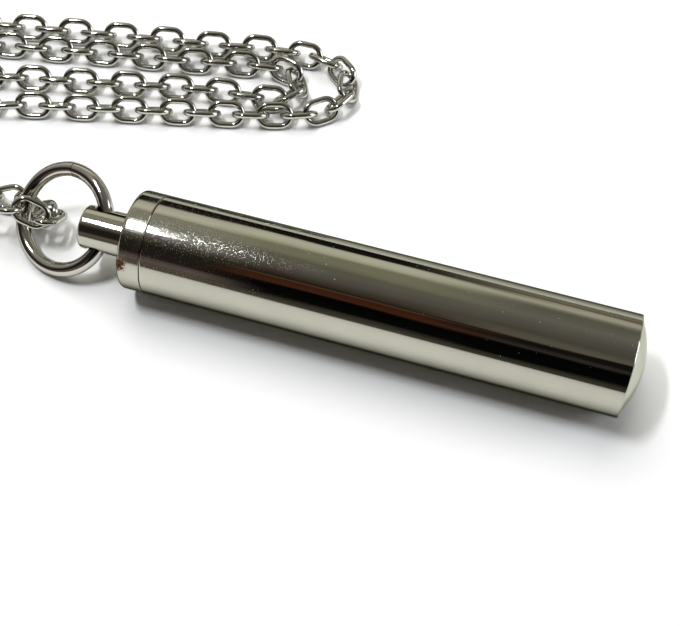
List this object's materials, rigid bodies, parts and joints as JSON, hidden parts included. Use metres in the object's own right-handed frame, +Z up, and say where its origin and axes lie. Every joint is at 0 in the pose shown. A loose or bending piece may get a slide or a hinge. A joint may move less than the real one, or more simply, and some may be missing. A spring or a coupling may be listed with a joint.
{
  "type": "screw-open capsule pendant on a chain",
  "caption": "Polished steel tube that unscrews from a short cap to hide a rolled note, hung by a post and wire ring from a cable chain with a lobster clasp.",
  "frame": {"origin": "on the floor under the middle of the capsule and its ring, where the capsule lies on its side", "axes": "+X along the capsule from its ring to its domed end, +Z up; the chain lies on the floor towards +Y and -X"},
  "size_m": [0.1153, 0.0375, 0.01],
  "materials": {
    "capsule_steel": "mirror polished stainless steel, fine scratches",
    "thread_steel": "turned stainless steel",
    "ring_steel": "polished stainless wire",
    "chain_steel": "polished stainless wire",
    "clasp_steel": "polished stainless steel",
    "spring_steel": "drawn spring wire",
    "seal_rubber": "soft black rubber"
  },
  "bodies": {
    "chain": {"ring_links": "chain_steel", "back_turn_links": "chain_steel", "near_row_links": "chain_steel", "hairpin_links": "chain_steel", "far_row_links": "chain_steel", "back_coil_links": "chain_steel", "front_turn_links": "chain_steel", "inner_row_links": "chain_steel", "inner_fold_links": "chain_steel", "inner_return_links": "chain_steel", "front_coil_links": "chain_steel", "clasp_body": "clasp_steel", "clasp_pin": "clasp_steel", "clasp_spring": "spring_steel", "clasp_ring": "clasp_steel", "catch_ring": "clasp_steel"},
    "clasp_arm": {"clasp_lever": "clasp_steel"},
    "ring": {"pendant_ring": "ring_steel"},
    "cap": {"screw_cap": "capsule_steel", "seal_ring": "seal_rubber", "bail_post": "capsule_steel"},
    "thread_carrier": {"thread_bush": "thread_steel"},
    "plug_carrier": {"end_plug": "capsule_steel"},
    "tube": {"tube_body": "capsule_steel"}
  },
  "joints": [
    {"name": "ring_turn", "type": "hinge", "parent": "chain", "child": "ring", "pos_m": [-0.02661, 0.00041, 0.00393], "axis": [-0.2588, -0.5678, 0.7815], "range_deg": [0, 100]},
    {"name": "capsule_swing", "type": "hinge", "parent": "ring", "child": "cap", "pos_m": [-0.02206, -0.00036, 0.005], "axis": [0, -0.809, -0.5878], "range_deg": [0, 90]},
    {"name": "tube_pull_off", "type": "slide", "parent": "cap", "child": "thread_carrier", "axis": [1, 0, 0], "range_m": [0, 0.058]},
    {"name": "tube_advance", "type": "slide", "parent": "thread_carrier", "child": "plug_carrier", "axis": [1, 0, 0], "range_m": [0, 0.0025]},
    {"name": "tube_unscrew", "type": "hinge", "parent": "plug_carrier", "child": "tube", "pos_m": [0, -0.00036, 0.005], "axis": [1, 0, 0], "range_deg": [0, 900]},
    {"name": "lever_press", "type": "hinge", "parent": "chain", "child": "clasp_arm", "pos_m": [-0.06256, 0.00996, 0.00117], "axis": [0, 0, -1], "range_deg": [0, 22], "stiffness_Nm_per_rad": 0.01, "springref_deg": -17.19}
  ],
  "couplings": [
    {"joint": "tube_advance", "follows": "tube_unscrew", "m_per_rad": 0.00015915}
  ]
}
